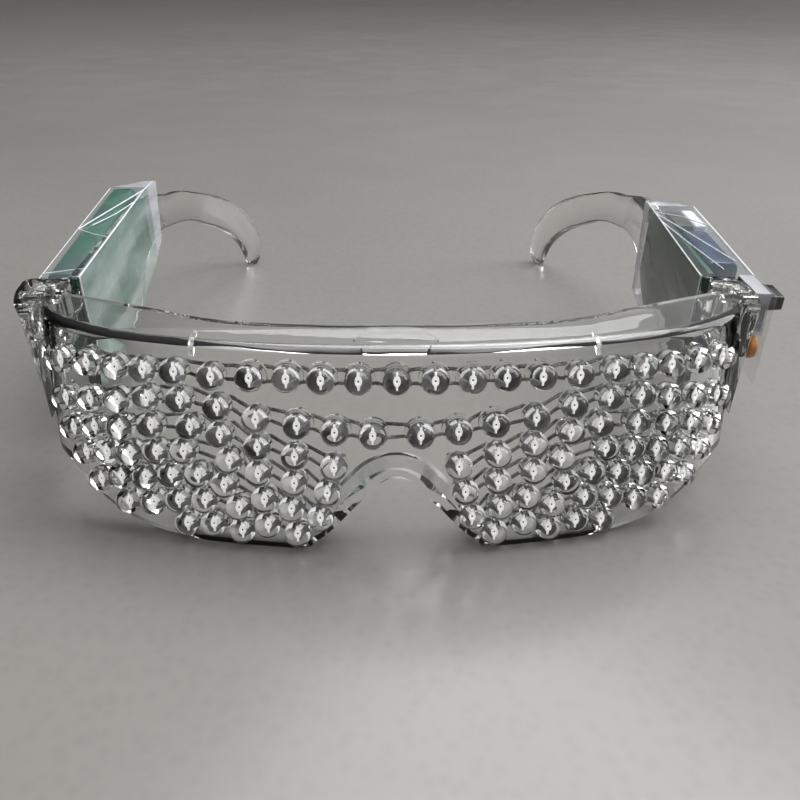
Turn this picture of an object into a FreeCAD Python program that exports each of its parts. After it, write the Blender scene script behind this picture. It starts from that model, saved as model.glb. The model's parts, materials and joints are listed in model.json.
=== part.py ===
import FreeCAD, Part
import math
import os

os.makedirs("parts", exist_ok=True)

# Shield: one clear moulding that wraps the face
lean_angle = 9.9
wall = 2.0
front_angle = 14.63
bend_radius = 42.0
bend_end_angle = 36.0
corner_radius = 16.0
side_angle = 84.0
side_run = 3.0
side_inset = 1.1
arc_facets = [3, 3, 4]
lens_half = 70.0
lens_tall = 38.5
brow_height = 38.5
brow_thick = 2.0
foot_sink = 0.3
blank_margin = 8.0
lower_shares = [
    (1.200, 0.372), (0.970, 0.372), (0.916, 0.350), (0.855, 0.265),
    (0.750, 0.140), (0.657, 0.072), (0.571, 0.039), (0.457, 0.010),
    (0.371, 0.000), (0.300, 0.006), (0.250, 0.018), (0.140, 0.030),
]
brow_rear_x_shares = [0.930, 0.857, 0.679, 0.457, 0.214]
brow_rear_y_shares = [0.838, 0.786, 0.655, 0.494, 0.442]
brow_rear_mid_share = 0.439

# Nose arch and its moulded flange
arch_x_shares = [0.243, 0.223, 0.191, 0.161, 0.129, 0.090, 0.047]
arch_z_shares = [-0.100, 0.026, 0.075, 0.127, 0.195, 0.275, 0.361]
arch_top_share = 0.390
flange_depth = 7.5
flange_thick = 1.6
flange_flare = 1.8
flange_lift = 0.8
flange_foot = 4.2
arch_overcut = 1.5

# Moulded ribs and the gate pad behind the brow
rib_x_share = 0.5105
rib_thick = 1.4
rib_reach = 7.0
rib_drop = 1.6
pad_front_half = 7.5
pad_rear_half = 5.0
pad_reach = 6.5
pad_drop = 1.6
pad_rise = 0.5

# Hinges
hinge_inset = 1.4
hinge_back = 9.4
lug_radius = 3.6
lug_top = 38.5
lug_thick = 3.0
lug_bottom = 26.5
web_reach = 7.0
knuckle_gap = 0.35
pin_radius = 1.0
pin_press = 0.01
pin_clear = 0.3

# Lamps, all in rows pushed through the shield from behind
lamp_sides = 6
lamp_pitch_share = 0.52
lamp_tail = 1.0
lamp_shoulder = 1.1
lamp_proud = 2.5
lamp_crown_share = 0.55
lamp_hole_clear = 0.04
row_x_shares = [
    [0.000, 0.095, 0.188, 0.274, 0.366, 0.463, 0.558, 0.640, 0.715, 0.798, 0.885],
    [0.061, 0.157, 0.252, 0.356, 0.454, 0.550, 0.638, 0.720, 0.803, 0.887],
    [0.161, 0.261, 0.356, 0.452, 0.530, 0.635, 0.722, 0.801, 0.874],
    [0.180, 0.265, 0.358, 0.432, 0.553, 0.629, 0.702, 0.772, 0.841],
    [0.200, 0.275, 0.346, 0.451, 0.520, 0.594, 0.666, 0.737, 0.802],
    [0.262, 0.340, 0.415, 0.507, 0.580, 0.651, 0.723],
    [0.410, 0.487, 0.561],
]
row_z_shares = [
    [0.873, 0.873, 0.874, 0.879, 0.877, 0.876, 0.890, 0.890, 0.893, 0.894, 0.881],
    [0.610, 0.625, 0.654, 0.679, 0.730, 0.754, 0.753, 0.731, 0.713, 0.687],
    [0.448, 0.499, 0.541, 0.594, 0.624, 0.617, 0.594, 0.573, 0.538],
    [0.315, 0.362, 0.405, 0.464, 0.496, 0.482, 0.463, 0.449, 0.420],
    [0.183, 0.227, 0.270, 0.335, 0.377, 0.366, 0.343, 0.331, 0.291],
    [0.093, 0.134, 0.220, 0.245, 0.234, 0.209, 0.198],
    [0.098, 0.122, 0.112],
]

# Lead rails soldered along the back of each lamp row
lead_spacing = 2.54
rail_side = 0.6
rail_overrun = 1.6

# Temple arms, drawn from the hinge pin at zero
battery_splay = 1.0
switch_splay = 4.5
arm_thick = 2.2
arm_inset = 3.6
arm_start = 4.2
arm_reach = 118.0
arm_height = 39.0
arm_plan_y_shares = [0.630, 0.708, 0.792, 0.877, 0.936, 0.979]
arm_plan_x_shares = [0.000, 0.012, 0.043, 0.092, 0.137, 0.175]
arm_top_shares = [
    (0.0356, 0.974), (0.339, 0.990), (0.517, 1.000), (0.619, 0.936), (0.686, 0.885),
    (0.763, 0.846), (0.826, 0.780), (0.873, 0.720), (0.941, 0.580), (0.983, 0.385),
    (0.9975, 0.180), (0.994, 0.060), (0.982, 0.000),
]
arm_low_shares = [
    (0.0356, 0.308), (0.280, 0.282), (0.381, 0.385), (0.483, 0.600), (0.610, 0.655),
    (0.695, 0.630), (0.780, 0.590), (0.839, 0.510), (0.907, 0.375), (0.952, 0.205),
    (0.966, 0.090), (0.9745, 0.000),
]
arm_plan_margin = 3.0
arm_chord = 0.04
knuckle_radius = 3.4
knuckle_reach = 7.0

# Battery pack taped to the arm on the wearer's right
cell_thick = 6.6
cell_tall = 21.0
cell_long = 52.0
cell_tilt = 5.0
cell_front = 12.5
cell_low = 15.6
cell_edge = 0.8
cell_board_thick = 1.6
cell_board_gap = 0.3
cell_board_tall = 20.0
cell_board_low = 15.5
cell_board_wide = 6.2
tab_thick = 0.3
tab_tall = 4.0
tab_gap = 8.0
tab_low = 20.0
film = 0.3
film_air = 0.1
film_front = 5.0
battery_tail = (9.7, -0.9, 7.7, 3.3)

# Controller pack taped to the other arm
board_thick = 1.2
board_front = 8.0
board_long = 46.0
board_tall = 24.0
board_low = 13.6
dark_block = (4.0, 12.0, 14.5)
dark_block_front = 38.5
dark_block_low = 24.0
navy_block = (7.0, 23.0, 21.5)
navy_block_front = 14.0
navy_block_low = 16.4
white_block = (3.0, 13.5, 12.6)
white_block_front = 38.5
white_block_low = 26.0
block_edge = 0.6
switch_tail = (4.0, 0.5, 2.0, 1.0)
pack_outer = 7.1
tab_reach = 7.0
film_tab_low = 19.0
film_tab_top = 38.6
housing_front = -4.4
housing_long = 11.0
housing_tall = 8.0
housing_low = 29.8
housing_floor = 0.5
cap_front = -2.6
cap_long = 7.4
cap_tall = 3.4
cap_low = 33.6
cap_proud = 3.8
cap_seat = 1.0
cap_clear = 0.35
cap_travel = 1.2
disc_radius = 2.6
disc_thick = 1.8
disc_y = -3.0
disc_z = 26.0

X_AXIS = FreeCAD.Vector(1, 0, 0)
Z_AXIS = FreeCAD.Vector(0, 0, 1)
ORIGIN = FreeCAD.Vector(0, 0, 0)
NODES = {}


def point(x, y, z):
    return FreeCAD.Vector(x, y, z)


def arc_data():
    """Start angle, end angle, radius and centre of each arc of the plan curve."""
    angles = [0.0] + [math.radians(v) for v in (front_angle, bend_end_angle, side_angle)]
    bend_width = bend_radius * (math.sin(angles[2]) - math.sin(angles[1]))
    corner_width = corner_radius * (math.sin(angles[3]) - math.sin(angles[2]))
    run_width = side_run * math.cos(angles[3])
    front_width = lens_half - side_inset - bend_width - corner_width - run_width
    radii = [front_width / math.sin(angles[1]), bend_radius, corner_radius]
    centres = [(0.0, radii[0])]
    for i in (1, 2):
        step = radii[i - 1] - radii[i]
        cx, cy = centres[-1]
        centres.append((cx + step * math.sin(angles[i]), cy - step * math.cos(angles[i])))
    return radii, angles, centres


def on_arc(i, angle, depth):
    """Point of arc i at an angle, moved behind the front face by a depth."""
    radii, angles, centres = arc_data()
    r = radii[i] - depth
    return centres[i][0] + r * math.sin(angle), centres[i][1] - r * math.cos(angle)


def surface_at(x):
    """Angle and arc of the front face at a distance from the middle."""
    radii, angles, centres = arc_data()
    side = abs(x)
    for i in (0, 1, 2):
        reach = centres[i][0] + radii[i] * math.sin(angles[i + 1])
        if side <= reach or i == 2:
            share = min(1.0, (side - centres[i][0]) / radii[i])
            return math.asin(share), i
    return angles[3], 2


def half_plan(depth):
    """Plan points from the middle to the rear end, at a depth behind the front face."""
    radii, angles, centres = arc_data()
    out = []
    for i, count in enumerate(arc_facets):
        step = (angles[i + 1] - angles[i]) / count
        out += [on_arc(i, angles[i] + step * k, depth) for k in range(count)]
    end = on_arc(2, angles[3], depth)
    rear = (end[0] + side_run * math.cos(angles[3]), end[1] + side_run * math.sin(angles[3]))
    return out + [end, rear]


def plan_points(depth, z, shift):
    """Points of the plan curve from the left rear end to the right rear end."""
    right = [point(x, y + shift, z) for x, y in half_plan(depth)]
    left = [point(-p.x, p.y, z) for p in reversed(right[1:])]
    return left + right


def hinge_place():
    """Place of the hinge pin of the right side in plan."""
    rear = half_plan(0.0)[-1]
    return lens_half - hinge_inset, rear[1] + hinge_back


def joined_face(edges):
    return Part.Face(Part.Wire(Part.__sortEdges__(edges)))


def leaned(shape):
    """Lean a shape built square to the lens back by the lens angle."""
    shape.rotate(ORIGIN, X_AXIS, -lean_angle)
    shape.translate(point(0, 0, -foot_sink))
    return shape


def wall_blank():
    low = -blank_margin
    outer = plan_points(0.0, low, 0.0)
    inner = plan_points(wall, low, 0.0)
    face = Part.Face(Part.makePolygon(outer + inner[::-1] + outer[:1]))
    return face.extrude(point(0, 0, lens_tall + 2 * blank_margin))


def lower_keep():
    """Everything above the lower outline of the lens, as a prism through its depth."""
    pts = [point(lens_half * x, -blank_margin, lens_tall * z) for x, z in lower_shares]
    mirrored = [point(-p.x, p.y, p.z) for p in reversed(pts)]
    curve = Part.BSplineCurve()
    curve.interpolate(pts + mirrored)
    first, last = pts[0], mirrored[-1]
    top = lens_tall + 2 * blank_margin
    roof_a = point(first.x, first.y, top)
    roof_b = point(last.x, last.y, top)
    edges = [curve.toShape(), Part.makeLine(last, roof_b), Part.makeLine(roof_b, roof_a),
             Part.makeLine(roof_a, first)]
    return joined_face(edges).extrude(point(0, lens_half, 0))


def arch_points(grow, widen, lift):
    """One side of the nose arch from foot to top, grown square to itself."""
    raw = [(lens_half * x, lens_tall * z) for x, z in zip(arch_x_shares, arch_z_shares)]
    raw.append((0.0, lens_tall * arch_top_share))
    out = []
    for i, (x, z) in enumerate(raw):
        if i == len(raw) - 1:
            nx, nz = 0.0, 1.0
        else:
            ax, az = raw[max(0, i - 1)]
            bx, bz = raw[i + 1]
            size = math.hypot(bx - ax, bz - az)
            nx, nz = (bz - az) / size, (ax - bx) / size
        spread = widen * min(1.0, x / (lens_half * arch_x_shares[-2]))
        out.append((x + grow * nx + spread, z + grow * nz + lift))
    return out


def arch_wire(y, grow, widen, lift):
    side = arch_points(grow, widen, lift)
    right = [point(x, y, z) for x, z in side]
    left = [point(-x, y, z) for x, z in reversed(side[:-1])]
    curve = Part.BSplineCurve()
    curve.interpolate(right + left)
    return Part.Wire([curve.toShape(), Part.makeLine(left[-1], right[0])])


def arch_loft(grow, front, rear):
    """Solid of the arch from in front of the lens to behind its flange."""
    slope = flange_flare / flange_depth
    rise = flange_lift / flange_depth
    wires = [arch_wire(y, grow, slope * y, rise * y) for y in (front, rear)]
    return Part.makeLoft(wires, True, True)


def nose_flange():
    outer = arch_loft(flange_thick, wall / 2, flange_depth)
    low = Part.makeBox(lens_half, lens_half, lens_half,
                       point(-lens_half / 2, -lens_half / 2, flange_foot - lens_half))
    return outer.cut(low)


def brow_shelf():
    """Flat shelf from the top of the lens back to the brow."""
    z = brow_height
    shift = z * math.tan(math.radians(lean_angle))
    front = plan_points(wall / 2, z, shift)
    xs = [lens_half * v for v in brow_rear_x_shares]
    ys = [lens_tall * v for v in brow_rear_y_shares]
    right = [point(x, y, z) for x, y in zip(xs, ys)]
    left = [point(-p.x, p.y, z) for p in reversed(right)]
    curve = Part.BSplineCurve()
    curve.interpolate(right + [point(0, lens_tall * brow_rear_mid_share, z)] + left)
    border = [Part.makeLine(a, b) for a, b in zip(front, front[1:])]
    ends = [Part.makeLine(front[-1], right[0]), Part.makeLine(left[-1], front[0])]
    return joined_face(border + ends + [curve.toShape()]).extrude(point(0, 0, -brow_thick))


def brow_rib(x):
    """Moulded rib between the shelf and the back of the lens."""
    shift = brow_height * math.tan(math.radians(lean_angle))
    angle, i = surface_at(x)
    front = on_arc(i, angle, wall / 2)[1] + shift
    low = brow_height - brow_thick - rib_drop
    lean = math.tan(math.radians(lean_angle))
    pts = [point(x - rib_thick / 2, front, brow_height - brow_thick / 2),
           point(x - rib_thick / 2, front + rib_reach, brow_height - brow_thick / 2),
           point(x - rib_thick / 2, front - rib_drop * lean, low)]
    return Part.Face(Part.makePolygon(pts + pts[:1])).extrude(point(rib_thick, 0, 0))


def gate_pad():
    """Trapezoid pad in the middle of the shelf, where the mould is filled."""
    shift = brow_height * math.tan(math.radians(lean_angle))
    y = shift + wall
    z = brow_height + pad_rise
    pts = [point(-pad_front_half, y, z), point(pad_front_half, y, z),
           point(pad_rear_half, y + pad_reach, z), point(-pad_rear_half, y + pad_reach, z)]
    face = Part.Face(Part.makePolygon(pts + pts[:1]))
    return face.extrude(point(0, 0, -brow_thick - pad_drop))


def hinge_lugs(side):
    """Upper and lower lug with the web that ties them to the side of the shield."""
    x, y = hinge_place()
    lugs = []
    for z in (lug_top - lug_thick, lug_bottom):
        ring = Part.makeCylinder(lug_radius, lug_thick, point(side * x, y, z))
        web = Part.makeBox(2 * lug_radius, web_reach, lug_thick,
                           point(side * x - lug_radius, y - web_reach, z))
        lugs.append(ring.fuse(web))
    return lugs


def knuckle_relief(side):
    """Room between the lugs for the knuckle of the arm in all its places."""
    x, y = hinge_place()
    low = lug_bottom + lug_thick
    depth = arm_inset + knuckle_gap
    wide = lug_radius + wall
    return Part.makeBox(2 * wide, 2 * depth, lug_top - lug_thick - low,
                        point(side * x - wide, y - depth, low))


def pin_hole(side, radius):
    x, y = hinge_place()
    return Part.makeCylinder(radius, lug_top - lug_bottom + 2 * blank_margin,
                             point(side * x, y, lug_bottom - blank_margin))


def ngon(y, radius):
    """Corners of a polygon in the plane at y, with flats at the top, bottom and sides."""
    pts = []
    for k in range(lamp_sides):
        a = 2 * math.pi * (k + 1 / 2) / lamp_sides
        pts.append(point(radius * math.cos(a), y, radius * math.sin(a)))
    return pts


def lamp_radius():
    """Radius of every lamp, from the closest spacing of any two lamp backs."""
    spots = [s for row in range(len(row_x_shares)) for s in lamp_spots(row)]
    backs = [rail_point(s, wall + lamp_tail, 0) for s in spots]
    pitch = min((a - b).Length for k, a in enumerate(backs) for b in backs[:k])
    return pitch * lamp_pitch_share


def lamp_shape():
    """One lamp along Y, front face of the shield at zero, dome to the front."""
    radius = lamp_radius()
    sections = [(wall + lamp_tail, radius), (-lamp_shoulder, radius),
                (-lamp_proud, radius * lamp_crown_share)]
    rings = [ngon(y, r) for y, r in sections]
    faces = [Part.Face(Part.makePolygon(ring + ring[:1])) for ring in (rings[0], rings[-1])]
    for a, b in zip(rings, rings[1:]):
        for k in range(lamp_sides):
            n = (k + 1) % lamp_sides
            faces.append(Part.Face(Part.makePolygon([a[k], a[n], b[n], b[k], a[k]])))
    return Part.Solid(Part.Shell(faces))


def lamp_hole():
    ring = ngon(-wall, lamp_radius() + lamp_hole_clear)
    return Part.Face(Part.makePolygon(ring + ring[:1])).extrude(point(0, 3 * wall, 0))


def lamp_spots(row):
    """Angle, foot on the front face and side of every lamp of a row."""
    spots = []
    for xs, zs in zip(row_x_shares[row], row_z_shares[row]):
        angle, i = surface_at(lens_half * xs)
        x, y = on_arc(i, angle, 0.0)
        for side in (-1, 1):
            if side < 0 and xs == 0:
                continue
            spots.append((side * math.degrees(angle), side * x, y, lens_tall * zs, side))
    return sorted(spots, key=lambda s: s[1])


def at_spot(shape, spot):
    angle, x, y, z, side = spot
    copy = shape.copy()
    copy.rotate(ORIGIN, Z_AXIS, angle)
    copy.translate(point(x, y, z))
    return copy


def front_shield():
    body = wall_blank().common(lower_keep())
    body = body.fuse(nose_flange())
    body = body.cut(arch_loft(0.0, -arch_overcut, flange_depth + arch_overcut))
    hole = lamp_hole()
    holes = [at_spot(hole, s) for r in range(len(row_x_shares)) for s in lamp_spots(r)]
    body = leaned(body.cut(holes))
    big = 4 * lens_half
    above = Part.makeBox(big, big, big, point(-big / 2, -big / 2, brow_height))
    below = Part.makeBox(big, big, big, point(-big / 2, -big / 2, -big))
    body = body.cut([above, below])
    extras = [brow_shelf(), gate_pad()]
    for side in (-1, 1):
        extras += hinge_lugs(side) + [brow_rib(side * lens_half * rib_x_share)]
    body = body.fuse(extras)
    rooms = [pin_hole(s, pin_radius + pin_press) for s in (-1, 1)]
    rooms += [knuckle_relief(s) for s in (-1, 1)]
    return body.cut(rooms).removeSplitter()


def lamp_row(row):
    lamp = lamp_shape()
    return leaned(Part.makeCompound([at_spot(lamp, s) for s in lamp_spots(row)]))


def rail_point(spot, out, up):
    angle, x, y, z, side = spot
    a = math.radians(angle)
    return point(x - out * math.sin(a), y + out * math.cos(a), z + up)


def rail_corners(p, angle):
    """Corners of the square section of a rail at a point, square to the lens."""
    a = math.radians(angle)
    inward = point(-math.sin(a), math.cos(a), 0)
    half = rail_side / 2
    spots = ((-half, -half), (half, -half), (half, half), (-half, half))
    return [p + inward * u + Z_AXIS * w for u, w in spots]


def rail(spots, up):
    """One lead rail along a run of lamps, touching their backs."""
    out = wall + lamp_tail + rail_side / 2
    rings = [rail_corners(rail_point(spot, out, up), spot[0]) for spot in spots]
    for k, sign in ((0, -1), (-1, 1)):
        a = math.radians(spots[k][0])
        across = point(math.cos(a), math.sin(a), 0) * (sign * rail_overrun)
        end = [p + across for p in rings[k]]
        rings = [end] + rings if k == 0 else rings + [end]
    faces = [Part.Face(Part.makePolygon(ring + ring[:1])) for ring in (rings[0], rings[-1])]
    for a, b in zip(rings, rings[1:]):
        for k in range(4):
            n = (k + 1) % 4
            faces.append(Part.Face(Part.makePolygon([a[k], a[n], b[n], a[k]])))
            faces.append(Part.Face(Part.makePolygon([a[k], b[n], b[k], a[k]])))
    solid = Part.Solid(Part.Shell(faces))
    if solid.Volume < 0:
        solid.reverse()
    return solid


def rail_node(row, up):
    spots = lamp_spots(row)
    if row < 2:
        runs = [spots]
    else:
        runs = [[s for s in spots if s[4] < 0], [s for s in spots if s[4] > 0]]
    return leaned(Part.makeCompound([rail(run, up) for run in runs]))


def hinge_pins():
    x, y = hinge_place()
    places = [point(s * x, y, lug_bottom) for s in (-1, 1)]
    tall = lug_top - lug_bottom
    return Part.makeCompound([Part.makeCylinder(pin_radius, tall, p) for p in places])


def bent_line(spots, tangent=None):
    """Points along a smooth curve through spots, close enough for short chords."""
    curve = Part.BSplineCurve()
    if tangent is None:
        curve.interpolate(Points=spots)
    else:
        curve.interpolate(Points=spots, InitialTangent=tangent)
    return curve.toShape().discretize(Deflection=arm_chord)


def arm_plan():
    """Plan band of an arm: straight along the pack, then curving in to the ear."""
    face_x = -arm_inset
    xs = [face_x - arm_reach * v for v in arm_plan_x_shares]
    ys = [arm_reach * v for v in arm_plan_y_shares]
    inner = [point(x, y, 0) for x, y in zip(xs, ys)]
    end = inner[-1] + (inner[-1] - inner[-2]).normalize() * arm_plan_margin
    inner.append(end)
    outer_pts = []
    for k, p in enumerate(inner):
        if k == 0:
            d = point(0, 1, 0)
        else:
            d = (inner[min(k + 1, len(inner) - 1)] - inner[k - 1]).normalize()
        outer_pts.append(p + point(d.y, -d.x, 0) * arm_thick)
    border = [point(face_x, arm_start, 0)] + bent_line(inner, point(0, 1, 0))
    border += bent_line(outer_pts, point(0, 1, 0))[::-1] + [point(face_x + arm_thick, arm_start, 0)]
    face = Part.Face(Part.makePolygon(border + border[:1]))
    return face.extrude(point(0, 0, arm_height))


def arm_edge(shares):
    """Points along one long edge of an arm in the side view, front to rear."""
    spots = [point(-arm_height, arm_reach * y, arm_height * z) for y, z in shares]
    return bent_line(spots)


def arm_side():
    """Side outline of an arm as a prism across its thickness."""
    border = arm_edge(arm_top_shares) + arm_edge(arm_low_shares)[::-1]
    face = Part.Face(Part.makePolygon(border + border[:1]))
    return face.extrude(point(2 * arm_height, 0, 0))


def temple_arm():
    body = arm_plan().common(arm_side())
    low = lug_bottom + lug_thick + knuckle_gap
    tall = lug_top - lug_thick - knuckle_gap - low
    ring = Part.makeCylinder(knuckle_radius, tall, point(0, 0, low))
    bridge = Part.makeBox(arm_inset, knuckle_reach, tall, point(-arm_inset, 0, low))
    body = body.fuse([ring, bridge])
    return body.cut(Part.makeCylinder(pin_radius + pin_clear, arm_height)).removeSplitter()


def box_at(x, y, z, size):
    return Part.makeBox(size[0], size[1], size[2], point(x, y, z))


def soft_box(x, y, z, size, edge):
    box = box_at(x, y, z, size)
    return box.makeChamfer(edge, box.Edges)


def pack_face():
    """Outer face of an arm, where the packs lie against it."""
    return arm_thick - arm_inset


def battery_block():
    block = soft_box(pack_face(), 0, 0, (cell_thick, cell_long, cell_tall), cell_edge)
    block.rotate(ORIGIN, X_AXIS, cell_tilt)
    block.translate(point(0, cell_front, cell_low))
    return block


def battery_board():
    return box_at(pack_face(), knuckle_reach + cell_board_gap, cell_board_low,
                  (cell_board_wide, cell_board_thick, cell_board_tall))


def battery_tabs():
    """Two nickel tabs between the board and the cell."""
    y = knuckle_reach + cell_board_gap + cell_board_thick
    tabs = []
    for k in range(2):
        z = tab_low + k * tab_gap
        lean = (z + tab_tall - cell_low) * math.tan(math.radians(cell_tilt))
        reach = cell_front - lean - y
        tabs.append(box_at(pack_face() + cell_thick / 2, y, z, (tab_thick, reach, tab_tall)))
    return Part.makeCompound(tabs)


def hull_side(spots, sign):
    """Upper or lower side of the outline round spots, from front to rear."""
    chain = []
    for y, z in sorted(spots):
        while len(chain) > 1:
            (ay, az), (by, bz) = chain[-2:]
            turn = (by - ay) * (z - az) - (bz - az) * (y - ay)
            if sign * turn < 0:
                break
            chain.pop()
        chain.append((y, z))
    return chain


def film_prism(upper, lower, x0, x1, spread, over):
    """Prism of a sleeve outline, spread up and down and run past its open ends."""
    last = len(upper) - 1
    tail = len(lower) - 1
    pts = []
    for k, (y, z) in enumerate(upper):
        push = -over if k == 0 else over if k == last else 0.0
        pts.append(point(x0, y + push, z + spread))
    for k, (y, z) in reversed(list(enumerate(lower))):
        push = -over if k == 0 else over if k == tail else 0.0
        pts.append(point(x0, y + push, z - spread))
    return Part.Face(Part.makePolygon(pts + pts[:1])).extrude(point(x1 - x0, 0, 0))


def film_tube(pieces, tail, outer_x):
    """Sleeve of clear tape drawn round the arm and the pieces of a pack."""
    spots = [(max(v.Y, film_front), v.Z) for piece in pieces for v in piece.Vertexes]
    rear = max(y for y, z in spots)
    top = max(z for y, z in spots)
    rear_low = min(z for y, z in spots if y > rear - film)
    spots.append((rear + tail[0], top + tail[1]))
    spots.append((rear + tail[2], rear_low + tail[3]))
    for shares in (arm_top_shares, arm_low_shares):
        near = [p for p in arm_edge(shares) if p.y < rear + tail[2]]
        spots += [(max(p.y, film_front), p.z) for p in near]
    upper = hull_side(spots, 1)[1:]
    lower = hull_side(spots, -1)[:-1]
    x0 = -arm_inset - film_air - film
    skin = film_prism(upper, lower, x0, outer_x + film, film_air + film, 0.0)
    hollow = film_prism(upper, lower, x0 + film, outer_x, film_air, film)
    return skin.cut(hollow)


def battery_film():
    return film_tube([battery_block(), battery_board()], battery_tail, pack_face() + cell_thick)


def switch_film():
    """Tape sleeve of the controller pack with its tongue over the switch."""
    pieces = [controller_board(), dark_part(), navy_part(), white_part(), switch_housing()]
    tube = film_tube(pieces, switch_tail, pack_outer)
    tongue = box_at(pack_outer, -tab_reach, film_tab_low,
                    (film, film_front + tab_reach + film, film_tab_top - film_tab_low))
    window = box_at(pack_outer - film, cap_front - cap_clear, cap_low - cap_clear,
                    (3 * film, cap_long + 2 * cap_clear, cap_tall + 2 * cap_clear))
    return tube.fuse(tongue).cut(window).removeSplitter()


def controller_board():
    return box_at(pack_face(), board_front, board_low, (board_thick, board_long, board_tall))


def dark_part():
    return soft_box(pack_face() + board_thick, dark_block_front, dark_block_low, dark_block,
                    block_edge)


def navy_part():
    return soft_box(pack_outer - navy_block[0], navy_block_front, navy_block_low, navy_block,
                    block_edge)


def white_part():
    return soft_box(pack_outer - white_block[0], white_block_front, white_block_low,
                    white_block, block_edge)


def switch_housing():
    """Switch body with the pocket that takes the cap over its travel."""
    depth = cap_seat - film + cap_travel + cap_clear
    thick = depth + housing_floor
    box = box_at(pack_outer - thick, housing_front, housing_low,
                 (thick, housing_long, housing_tall))
    pocket = box_at(pack_outer - depth, cap_front - cap_clear, cap_low - cap_clear,
                    (2 * depth, cap_long + 2 * cap_clear, cap_tall + 2 * cap_clear))
    return box.cut(pocket)


def switch_cap():
    return soft_box(pack_outer + film - cap_seat, cap_front, cap_low,
                    (cap_seat + cap_proud, cap_long, cap_tall), cap_clear)


def disc_part():
    return Part.makeCylinder(disc_radius, disc_thick, point(pack_outer - disc_thick, disc_y, disc_z),
                             X_AXIS)


def on_switch_side(shape):
    x, y = hinge_place()
    shape.rotate(ORIGIN, Z_AXIS, -switch_splay)
    shape.translate(point(x, y, 0))
    return shape


def on_battery_side(shape):
    x, y = hinge_place()
    shape = shape.mirror(ORIGIN, X_AXIS)
    shape.rotate(ORIGIN, Z_AXIS, battery_splay)
    shape.translate(point(-x, y, 0))
    return shape


def build():
    NODES["front_shield"] = front_shield()
    for row in range(len(row_x_shares)):
        NODES["lamps_row_%d" % (row + 1)] = lamp_row(row)
        NODES["upper_rail_%d" % (row + 1)] = rail_node(row, lead_spacing / 2)
        NODES["lower_rail_%d" % (row + 1)] = rail_node(row, -lead_spacing / 2)
    NODES["hinge_pins"] = hinge_pins()
    NODES["battery_arm"] = on_battery_side(temple_arm())
    NODES["battery_block"] = on_battery_side(battery_block())
    NODES["battery_board"] = on_battery_side(battery_board())
    NODES["battery_tabs"] = on_battery_side(battery_tabs())
    NODES["battery_film"] = on_battery_side(battery_film())
    NODES["switch_arm"] = on_switch_side(temple_arm())
    NODES["controller_board"] = on_switch_side(controller_board())
    NODES["dark_block"] = on_switch_side(dark_part())
    NODES["navy_block"] = on_switch_side(navy_part())
    NODES["white_block"] = on_switch_side(white_part())
    NODES["switch_housing"] = on_switch_side(switch_housing())
    NODES["ceramic_disc"] = on_switch_side(disc_part())
    NODES["switch_film"] = on_switch_side(switch_film())
    NODES["switch_cap"] = on_switch_side(switch_cap())


def settle():
    """Move everything so the outer box stands centred on the origin."""
    box = FreeCAD.BoundBox()
    for shape in NODES.values():
        box.add(shape.optimalBoundingBox(False, False))
    shift = point(-(box.XMin + box.XMax) / 2, -(box.YMin + box.YMax) / 2, -box.ZMin)
    for shape in NODES.values():
        shape.translate(shift)
    return box, shift


build()
outer_box, shift = settle()
for name, shape in NODES.items():
    shape.exportStep("parts/" + name + ".step")
print("box", [round(v, 2) for v in (outer_box.XLength, outer_box.YLength, outer_box.ZLength)])
print("shift", [round(v, 3) for v in shift])
hinge_x, hinge_y = hinge_place()
print("hinges at", round(hinge_x + shift.x, 3), round(-hinge_x + shift.x, 3),
      round(hinge_y + shift.y, 3))
for name, shape in NODES.items():
    print(name, len(shape.Solids), "valid" if shape.isValid() else "not valid")
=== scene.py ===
import json
import math

import bpy
from mathutils import Matrix, Vector, noise


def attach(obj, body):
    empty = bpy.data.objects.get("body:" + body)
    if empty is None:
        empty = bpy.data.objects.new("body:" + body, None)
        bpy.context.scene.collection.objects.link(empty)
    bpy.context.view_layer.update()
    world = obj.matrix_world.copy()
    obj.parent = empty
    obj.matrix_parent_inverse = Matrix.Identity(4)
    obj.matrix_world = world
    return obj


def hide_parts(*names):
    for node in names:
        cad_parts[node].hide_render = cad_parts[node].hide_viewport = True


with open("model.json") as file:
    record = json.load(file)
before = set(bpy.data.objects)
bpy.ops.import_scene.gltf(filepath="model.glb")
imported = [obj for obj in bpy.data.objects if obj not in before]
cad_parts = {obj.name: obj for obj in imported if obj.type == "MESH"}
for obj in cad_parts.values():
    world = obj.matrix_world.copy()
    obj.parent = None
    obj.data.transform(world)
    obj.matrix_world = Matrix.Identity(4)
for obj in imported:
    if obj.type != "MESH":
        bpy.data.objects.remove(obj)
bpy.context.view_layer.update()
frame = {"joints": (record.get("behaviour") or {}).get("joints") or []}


# Where the glasses stand
# They lie open on a polished stone table top, front edge of the lens towards the viewer.
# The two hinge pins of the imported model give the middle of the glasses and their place.
mm = 0.001
pins = {j["name"]: Vector(j["pos_m"]) for j in frame["joints"] if j["type"] == "hinge"}
left_pin, right_pin = pins["battery_temple_fold"], pins["switch_temple_fold"]
pin_y = 36.477 * mm
seat = Vector(((left_pin.x + right_pin.x) / 2, left_pin.y - pin_y, 0))

camera_data = bpy.data.cameras.new("camera")
camera_data.lens = 34.2
camera_data.sensor_width = 36
camera_data.clip_start = 0.01
camera = bpy.data.objects.new("camera", camera_data)
bpy.context.scene.collection.objects.link(camera)
camera.matrix_world = (
    Matrix.Translation(seat + Vector((-3.2, -108.2, 96.0)) * mm)
    @ Matrix.Rotation(math.radians(-1.88), 4, "Z")
    @ Matrix.Rotation(math.radians(90 - 30.37), 4, "X")
    @ Matrix.Rotation(math.radians(0.64), 4, "Z"))
bpy.context.scene.camera = camera


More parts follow.
